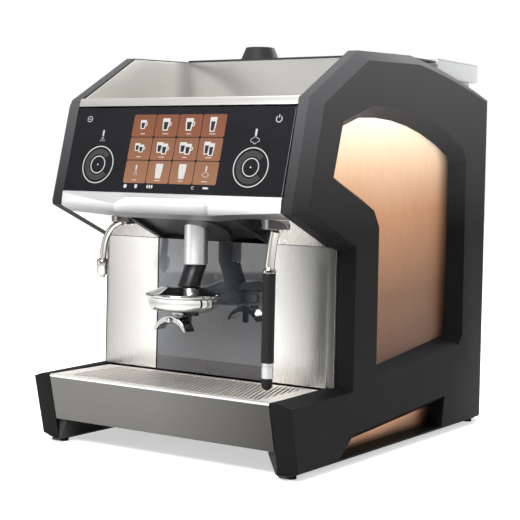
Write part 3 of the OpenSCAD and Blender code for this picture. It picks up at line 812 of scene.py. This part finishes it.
class MACHINE_OT_glass_front(bpy.types.Operator):
    """Black glass front with the touch screen and the two touch dials"""

    bl_idname = "machine.glass_front"
    bl_label = "Glass front"

    def execute(self, context):
        _, finish, shape = settings(context)
        refined("front_glass", "glass_front", glass_black("black_glass"), 0.5)
        rows = ((0.270, 0.078, 0.026), (0.310, 0.118, 0.050), (0.350, 0.150, 0.070))
        pitch_u, pitch_v, top = 37.75, 32.0, 49.0
        for r, tone in enumerate(rows):
            tiles = Build()
            for c in range(4):
                u, v = (c - 1.5) * pitch_u, top - (r + 0.5) * pitch_v
                tiles.prism(rounded(pitch_u - shape.tile_gap, pitch_v - shape.tile_gap,
                                    shape.tile_radius, (u, v)), 0.02, 0.2, on_glass)
            high = on_glass(0, top - r * pitch_v, 0).z
            low = on_glass(0, top - (r + 1) * pitch_v, 0).z
            skin = lit(f"tile_row_{r + 1}", tinted(tone, 0.94), tinted(tone, 1.1), low, high,
                       finish.glow)
            make(f"screen_tiles_{r + 1}", tiles, skin, "machine")

        marks, fills, frames = Build(), Build(), Build()
        sizes = ((9.5, 12.5, True, True), (11.5, 17.0, True, True), (12.0, 17.0, True, True),
                 (10.5, 20.0, False, True))
        for c, (w, h, handle, fill) in enumerate(sizes):
            u, v = (c - 1.5) * pitch_u - 1.5, top - 0.5 * pitch_v
            cup(marks, fills, (u, v - h / 2 + 1.5), w, h, handle, fill)
            v -= pitch_v
            cup(marks, fills, (u - w * 0.33, v - h / 2 + 3.0), w * 0.9, h * 0.86, False, fill)
            cup(marks, fills, (u + w * 0.36, v - h / 2 + 1.0), w * 0.9, h * 0.86, handle, fill)
        v = top - 2.5 * pitch_v
        for c in (1, 2):
            cup(marks, fills, ((c - 1.5) * pitch_u, v - 8.5), 11.5, 20.0, False, False)
        nozzle_mark(marks, (-1.5 * pitch_u, v + 2.5), 1.15, False)
        nozzle_mark(marks, (1.5 * pitch_u, v + 2.5), 1.15, True)
        for r in range(3):
            for c in range(4):
                u, v = (c - 1.5) * pitch_u, top - (r + 1) * pitch_v + 4.6
                marks.prism(rounded(9.5 if c % 2 else 7.5, 0.9, 0.4, (u, v), 2), *ICON,
                            on_glass)
        foot = top - 3 * pitch_v - 3.9
        disc(marks, (-70, foot), 0.0, 2.7, 24)
        cup(marks, fills, (-52, foot - 2.5), 4.4, 5.0, False, False)
        for k in range(3):
            marks.prism(rounded(2.4, 4.4, 0.8, (-33 + 3.6 * k, foot), 3), *PRINT, on_glass)
        marks.band((40, foot), 1.5, 2.1, 30, 330, *PRINT, on_glass, 20)
        marks.prism(rounded(9.0, 2.6, 1.3, (60, foot), 4), *PRINT, on_glass)
        disc(marks, (-152, 42.5), 3.6, 4.3, 36)
        marks.prism(rounded(4.0, 0.8, 0.3, (-152, 42.5), 2), *PRINT, on_glass)
        marks.band((154, 41.6), 3.6, 4.7, 125, 415, *PRINT, on_glass, 32)
        marks.prism(rounded(1.1, 4.6, 0.5, (154, 45.4), 2), *PRINT, on_glass)
        nozzle_mark(marks, (-123.5, 18.5), 1.35, False)
        nozzle_mark(marks, (123.5, 19.5), 1.5, True)
        white = lit("screen_white", (0.80, 0.80, 0.79), (0.76, 0.75, 0.74), 0.34, 0.47,
                    finish.glow)
        for side in (-1, 1):
            centre = (123.5 * side, -22.0)
            disc(marks, centre, 25.0, 26.3, 72)
            disc(marks, centre, 11.2, 12.4, 48)
            disc(marks, centre, 0.0, 1.1, 16)
            for k in range(60):
                a = 42 + k * 276 / 59
                frames.band(centre, 14.6, 21.8, a - 1.1, a + 1.1, 0.02, 0.25, on_glass, 2)
        make("screen_marks", marks, white, "machine")
        dark = lit("screen_dark", (0.012, 0.008, 0.006), (0.02, 0.012, 0.01), 0.34, 0.47, 0.1)
        make("screen_fills", fills, dark, "machine")
        grey = lit("dial_grey", (0.11, 0.10, 0.10), (0.09, 0.08, 0.08), 0.34, 0.47,
                   finish.glow)
        make("dial_ticks", frames, grey, "machine")
        return {"FINISHED"}


class MACHINE_OT_trim(bpy.types.Operator):
    """Satin silver bar under the glass"""

    bl_idname = "machine.trim"
    bl_label = "Trim bar"

    def execute(self, context):
        shape = settings(context)[2]
        # The trim darkens towards its lower edge as painted shade.
        silver = satin("satin_silver", (0.60, 0.60, 0.61), 0.46, ("Z", 0.336, 0.324, 0.35))
        refined("trim_bar", "silver_trim", silver, shape.trim_edge)
        return {"FINISHED"}


class MACHINE_OT_splash_wall(bpy.types.Operator):
    """Steel and black glass behind the cup space"""

    bl_idname = "machine.splash_wall"
    bl_label = "Splash wall"

    def execute(self, context):
        finish = settings(context)[1]
        upright = brushed("brushed_upright", finish.steel, "Z", 0.27)
        # Each steel sheet darkens towards its outer end as painted shade.
        for side, edge, least in (("left", -0.19, 0.45), ("right", 0.19, 0.12)):
            sheet = brushed(f"upright_{side}", finish.steel, "Z", 0.27,
                            ("X", edge * 0.55, edge, least))
            refined(f"splash_steel_{side}", f"splash_sheet_steel_{side}", sheet,
                    0.25)
        refined("corner_strips", "corner_sheets", upright, 0.25)
        # The last colour is a painted reflection, paler towards the pane's upper left.
        smoked = glass_black("smoked_glass", (0.008, 0.009, 0.011), 1.7, (0.12, 0.125, 0.135))
        refined("splash_glass", "splash_pane", smoked, 0.3)
        return {"FINISHED"}


class MACHINE_OT_underside(bpy.types.Operator):
    """Underside of the head around the outlet and the wand sockets"""

    bl_idname = "machine.underside"
    bl_label = "Underside"

    def execute(self, context):
        finish = settings(context)[1]
        across = brushed("brushed_across", finish.steel, "X", 0.06)
        for side in ("left", "right"):
            refined(f"underside_{side}", f"head_sheet_{side}", across, 0.3)
        black = moulded("black_moulding", (0.012, 0.012, 0.013), 0.42)
        refined("ceiling_plate", "ceiling_sheet", black, 0.3)
        refined("ceiling_frame", "ceiling_rails", black, 0.6)
        refined("outlet_collar", "collar_ring", black, 0.8)
        dark = polished("dark_sockets", (0.16, 0.155, 0.15))
        refined("wand_sockets", "socket_caps", dark, 0.7)
        return {"FINISHED"}


class MACHINE_OT_cup_well(bpy.types.Operator):
    """Pressed steel well on top of the head"""

    bl_idname = "machine.cup_well"
    bl_label = "Cup well"

    def execute(self, context):
        finish = settings(context)[1]
        # The well sheet darkens towards its back wall as painted shade.
        sheet = brushed("brushed_well", tinted(finish.steel, 1.2), "X", 0.3,
                        ("Y", -0.03, 0.0, 0.55))
        refined("cup_well", "well_sheet", sheet, 0.4)
        return {"FINISHED"}


class MACHINE_OT_outlet(bpy.types.Operator):
    """Sliding column, neck, chrome dome and twin spout"""

    bl_idname = "machine.outlet"
    bl_label = "Outlet"

    def execute(self, context):
        chrome = polished("bright_chrome")
        black = moulded("neck_black", (0.005, 0.005, 0.006), 0.3)
        x, y, r, z0, z1 = box_of("outlet_column")
        column = Build().lathe([(r - 3, z1), (r, z1), (r, z0 + 1.2), (r - 1.0, z0 + 0.2),
                                (r - 2.2, z0), (0.01, z0)], (x, y, 0), n=72)
        make("outlet_sleeve", column, satin("satin_column", (0.58, 0.58, 0.58), 0.36),
             "outlet", ("outlet_column",))

        _, _, _, z0, z1 = box_of("outlet_neck")
        n, forward, rings = 40, 14.5, []
        for t in (0.0, 0.06, 0.3, 0.6, 0.85, 0.97, 1.0):
            z = z1 * (1 - t) + z0 * t
            cy = y - forward * t
            waist = 15.5 - 0.8 * math.sin(math.pi * t)
            rx, ry = waist, waist * (0.94 + 0.06 * t)
            if t in (0.0, 1.0):
                rx, ry = rx - 0.6, ry - 0.6
            rings.append([mm(x + rx * math.cos(a), cy + ry * math.sin(a), z)
                          for a in (2 * math.pi * i / n for i in range(n))])
        make("neck_moulding", Build().loft(rings), black, "outlet",
             ("outlet_neck",))

        dx, dy, r, z0, z1 = box_of("outlet_dome")
        lip = z1 - 11.2
        profile = [(0.01, z1 - 0.2), (26.5, z1 - 0.2), (28.5, z1 - 0.8), (31.0, z1 - 2.0),
                   (38.0, z1 - 4.6), (44.0, z1 - 6.8)]
        profile += [(r - 3.0 + 3.0 * math.cos(a), lip + 3.0 * math.sin(a))
                    for a in (math.radians(d) for d in range(70, -85, -15))]
        profile += [(r - 4.0, lip - 3.4), (r - 4.4, lip - 4.4), (r - 4.6, lip - 8.0)]
        profile += [(r - 15.5 + 10.9 * math.cos(a), z0 + 10.0 - 10.0 * math.sin(a))
                    for a in (math.radians(d) for d in range(0, 91, 10))]
        profile.append((0.01, z0))
        make("dome_shell", Build().lathe(profile, (dx, dy, 0), n=96), chrome, "outlet",
             ("outlet_dome",), sharp=50)

        _, _, _, tip, top = box_of("outlet_spout")
        sx, sy, crown = 0.0, dy - 22.0, 189.0
        spout = Build()
        outer = [(27.0 * math.cos(a), crown - 27.0 + 27.0 * math.sin(a))
                 for a in (math.radians(15 + 150 * k / 36) for k in range(37))]
        inner = [(26.0 * math.cos(a), crown - 33.5 + 26.0 * math.sin(a))
                 for a in (math.radians(148.7 - 117.4 * k / 30) for k in range(31))]
        spout.prism(outer + inner, sy - 9.0, sy + 12.0, lambda u, v, d: mm(sx + u, d, v))
        front = Matrix.Rotation(math.radians(90), 3, "X")
        spout.lathe([(0.01, 14.0), (1.8, 13.7), (3.2, 12.7), (4.0, 11.0), (4.0, 0.0), (0.01, 0.0)],
                    (sx, sy, crown - 6.0), front, 36)
        spout.lathe([(0.01, 0.0), (8.8, 0.0), (8.8, -4.6), (7.6, -6.4), (0.01, -6.8)],
                    (sx, sy + 12, top), None, 40)
        make("spout_chrome", spout, chrome, "outlet", ("outlet_spout",),
             sharp=50, bevel=0.9)
        tube = Build()
        tube.lathe([(0.01, top), (4.4, top), (4.4, tip + 3), (3.4, tip), (0.01, tip)],
                   (9.9, dy - 2.5, 0), None, 28)
        tube.prism(rounded(9, 5, 1.5, (22, top - 2.5)), dy - 10, dy - 2,
                   lambda u, v, d: mm(u, d, v))
        make("milk_spout", tube, black, "outlet")
        return {"FINISHED"}


class MACHINE_OT_water_wand(bpy.types.Operator):
    """Hot water spout"""

    bl_idname = "machine.water_wand"
    bl_label = "Hot water spout"

    def execute(self, context):
        steel = polished("bright_steel", (0.46, 0.44, 0.41), 0.1)
        _, _, _, z0, z1 = box_of("water_wand")
        ball = (-108.0, -232.0, z1 - 10.0)
        x, y = -136.0, -240.0
        tube = Build().sweep(curved((-109.4, -232.4, ball[2] - 8.0), (-134.0, y, 301.0),
                                    (x, y, z0 + 24.0)), 4.9, 32)
        make("spout_tube", tube, steel, "water_spout", ("water_wand",), sharp=60)
        nozzle = [(0.01, z0 + 26.6), (5.2, z0 + 26.6), (7.6, z0 + 25.0), (8.4, z0 + 23.4),
                  (8.5, z0 + 22.0), (8.5, z0 + 5.0), (8.0, z0 + 4.1), (3.6, z0 + 4.0),
                  (3.4, z0 + 0.4), (3.0, z0), (0.01, z0)]
        make("spout_nozzle", Build().lathe(nozzle, (x, y, 0)), steel, "water_spout")
        make("spout_ball", Build().lathe(round_ball(10.0), ball, n=40), steel, "water_spout",
             sharp=60)
        return {"FINISHED"}


class MACHINE_OT_steam_wand(bpy.types.Operator):
    """Steam wand with its grip sleeve"""

    bl_idname = "machine.steam_wand"
    bl_label = "Steam wand"

    def execute(self, context):
        steel = polished("bright_wand", (0.46, 0.44, 0.41), 0.07)
        low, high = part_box("steam_ball")
        ball = tuple((a + b) / 2 / MM for a, b in zip(low, high))
        make("wand_ball", Build().lathe(round_ball(11.0), ball, n=40), steel, "steam_swing",
             ("steam_ball",), sharp=60)
        x, y, r, z0, z1 = box_of("steam_sleeve")
        tube = Build().sweep(curved((ball[0] - 0.8, y, ball[2] - 11.05), (x + 2.0, y, 284.0),
                                    (x, y, z1 + 2.0)), 6.2, 36)
        make("wand_tube", tube, steel, "steam_wand", ("steam_tube",), sharp=60)
        ring = [(0.01, z1 + 7.4), (6.3, z1 + 7.4), (6.9, z1 + 5.6), (7.4, z1 + 4.4),
                (r + 0.4, z1 + 3.6), (r + 0.6, z1 + 2.6), (r + 0.6, z1 + 0.9), (r, z1 + 0.1),
                (0.01, z1 + 0.1)]
        make("wand_ring", Build().lathe(ring, (x, y, 0)), steel, "steam_wand")
        profile = [(0.01, z1), (r - 0.9, z1), (r - 0.2, z1 - 0.5), (r, z1 - 1.4)]
        waist, steps = 0.18, 24
        for k in range(1, steps):
            z = z1 - 1.4 + (z0 + 2.8 - z1) * k / steps
            profile.append((r - waist * math.sin(math.pi * k / steps), z))
        profile += [(r, z0 + 1.4), (r - 0.2, z0 + 0.5), (r - 0.9, z0), (0.01, z0)]
        make("wand_grip", Build().lathe(profile, (x, y, 0)), rubber("grip_rubber"),
             "steam_wand", ("steam_sleeve",), sharp=60)
        _, _, r, z0, z1 = box_of("steam_tip")
        collar = [(0.01, z1), (r - 0.5, z1), (r, z1 - 0.5), (r, z1 - 3.2), (r - 0.35, z1 - 3.5),
                  (r - 0.35, z1 - 4.2), (r, z1 - 4.5), (r, z1 - 19.4), (r - 0.6, z1 - 20.0),
                  (0.01, z1 - 20.0)]
        make("wand_collar", Build().lathe(collar, (x, y, 0)),
             satin("satin_collar", (0.42, 0.42, 0.43), 0.28), "steam_wand",
             ("steam_tip",))
        tip = [(0.01, z1 - 20.05), (r - 1.0, z1 - 20.05), (r - 0.7, z1 - 21.0), (r - 0.8, z0 + 7)]
        tip += [((r - 0.8) * math.cos(a), z0 + 7 - 7 * math.sin(a))
                for a in (math.radians(d) for d in range(12, 90, 13))] + [(0.01, z0)]
        make("wand_tip", Build().lathe(tip, (x, y, 0), n=40), rubber("tip_black"), "steam_wand")
        return {"FINISHED"}


class MACHINE_OT_drip_tray(bpy.types.Operator):
    """Drip tray front and the slotted grid"""

    bl_idname = "machine.drip_tray"
    bl_label = "Drip tray"

    def execute(self, context):
        finish = settings(context)[1]
        # The tray front darkens towards its right end as painted shade, where its reflection falls
        # off.
        shell = blasted("blasted_steel", finish.tray, ("X", 0.0, 0.18, 0.4))
        refined("drip_tray", "tray_shell", shell, 0.9, "tray")
        # Section of the bright edge over the tray front: forward and up, in millimetres.
        edge = [(-296.4, 98.55), (-297.4, 98.55), (-299.1, 97.7), (-299.95, 95.85),
                (-299.95, 95.2), (-298.6, 95.2), (-297.4, 97.2)]
        lip = Build().prism(edge, -176.5, 176.5, lambda u, v, d: mm(d, u, v))
        make("tray_lip", lip, brushed("brushed_lip", (0.97, 0.96, 0.93), "X", 0.3), "tray",
             sharp=60)
        refined("drip_grid", "grid_sheet", brushed("brushed_grid", (0.96, 0.92, 0.87), "X", 0.5),
                0.25, "grid")
        return {"FINISHED"}


class MACHINE_OT_hopper(bpy.types.Operator):
    """Bean hopper"""

    bl_idname = "machine.hopper"
    bl_label = "Bean hopper"

    def execute(self, context):
        milky = frosted("frosted_plastic")
        refined("bean_hopper", "hopper_box", milky, 0.8, "hopper")
        refined("hopper_lid", "hopper_top", milky, 0.8, "lid")
        return {"FINISHED"}


class MACHINE_OT_service_cover(bpy.types.Operator):
    """Cover over the service hatch, with its knob"""

    bl_idname = "machine.service_cover"
    bl_label = "Service cover"

    def execute(self, context):
        black = moulded("cover_black", (0.014, 0.014, 0.015), 0.4)
        refined("service_cover", "cover_plate", black, 0.6, "cover")
        return {"FINISHED"}


class MACHINE_OT_base(bpy.types.Operator):
    """Base pan, foot rails and feet"""

    bl_idname = "machine.base"
    bl_label = "Base"

    def execute(self, context):
        black = moulded("rail_black", (0.012, 0.012, 0.013), 0.5)
        for side in ("left", "right"):
            refined(f"foot_rail_{side}", f"rail_moulding_{side}", black, 0.5)
        finish_nodes(rubber("foot_rubber"), "foot_pads")
        finish_nodes(zinc("zinc_sheet"), "base_pan", "chassis_left", "chassis_right",
                     "head_carrier", "service_deck")
        return {"FINISHED"}


class MACHINE_OT_rear(bpy.types.Operator):
    """Rear cover, its screws and the fittings"""

    bl_idname = "machine.rear"
    bl_label = "Rear"

    def execute(self, context):
        coat = moulded("powder_coat", (0.03, 0.03, 0.033), 0.5, 900.0, 0.00008)
        refined("rear_cover", "rear_sheet", coat, 0.3)
        refined("cover_screws", "screw_heads", polished("zinc_screws", (0.62, 0.62, 0.63), 0.25),
                0.4)
        finish_nodes(cast("turned_brass", (0.72, 0.55, 0.28), 0.3), "rear_fittings")
        return {"FINISHED"}


class MACHINE_OT_internals(bpy.types.Operator):
    """Parts behind the covers"""

    bl_idname = "machine.internals"
    bl_label = "Internals"

    def execute(self, context):
        black = moulded("inner_black", (0.02, 0.02, 0.021), 0.5)
        finish_nodes(black, "display_module", "fan_frame", "fan_rotor", "grinder_left",
                     "grinder_right")
        finish_nodes(circuit("circuit_board"), "control_board")
        finish_nodes(brushed("boiler_steel", (0.6, 0.59, 0.56), "X", 0.35), "coffee_boiler",
                     "steam_boiler")
        finish_nodes(cast("pipe_copper", (0.72, 0.38, 0.22), 0.28), "boiler_pipes")
        finish_nodes(cast("cast_brass", (0.68, 0.52, 0.27), 0.35), "pump_head")
        finish_nodes(cast("tool_steel", (0.5, 0.5, 0.5), 0.3), "burr_left", "burr_right",
                     "brew_piston")
        finish_nodes(cast("motor_grey", (0.2, 0.2, 0.21), 0.45, 0.6), "pump_motor", "brew_group",
                     "power_supply")
        return {"FINISHED"}


class MACHINE_PT_panel(bpy.types.Panel):
    bl_label = "Coffee machine"
    bl_idname = "MACHINE_PT_panel"
    bl_space_type = "VIEW_3D"
    bl_region_type = "UI"
    bl_category = "Coffee machine"

    def draw(self, context):
        for group in settings(context):
            box = self.layout.box()
            for key in group.__annotations__:
                box.prop(group, key)
        for operator in OPERATORS:
            self.layout.operator(operator.bl_idname)


GROUPS = {"machine_stage": MachineStage, "machine_finish": MachineFinish,
          "machine_shape": MachineShape}
OPERATORS = (MACHINE_OT_stage, MACHINE_OT_side_panels, MACHINE_OT_copper_inserts,
             MACHINE_OT_glass_front, MACHINE_OT_trim, MACHINE_OT_splash_wall,
             MACHINE_OT_underside, MACHINE_OT_cup_well, MACHINE_OT_outlet,
             MACHINE_OT_water_wand, MACHINE_OT_steam_wand, MACHINE_OT_drip_tray,
             MACHINE_OT_hopper, MACHINE_OT_service_cover, MACHINE_OT_base, MACHINE_OT_rear,
             MACHINE_OT_internals)
CLASSES = (*GROUPS.values(), *OPERATORS, MACHINE_PT_panel)


def register():
    for cls in CLASSES:
        bpy.utils.register_class(cls)
    for name, group in GROUPS.items():
        setattr(bpy.types.Scene, name, PointerProperty(type=group))


def unregister():
    for name in GROUPS:
        delattr(bpy.types.Scene, name)
    for cls in reversed(CLASSES):
        bpy.utils.unregister_class(cls)


def main():
    register()
    for operator in OPERATORS:
        group, action = operator.bl_idname.split(".")
        getattr(getattr(bpy.ops, group), action)()


if __name__ == "__main__":
    main()
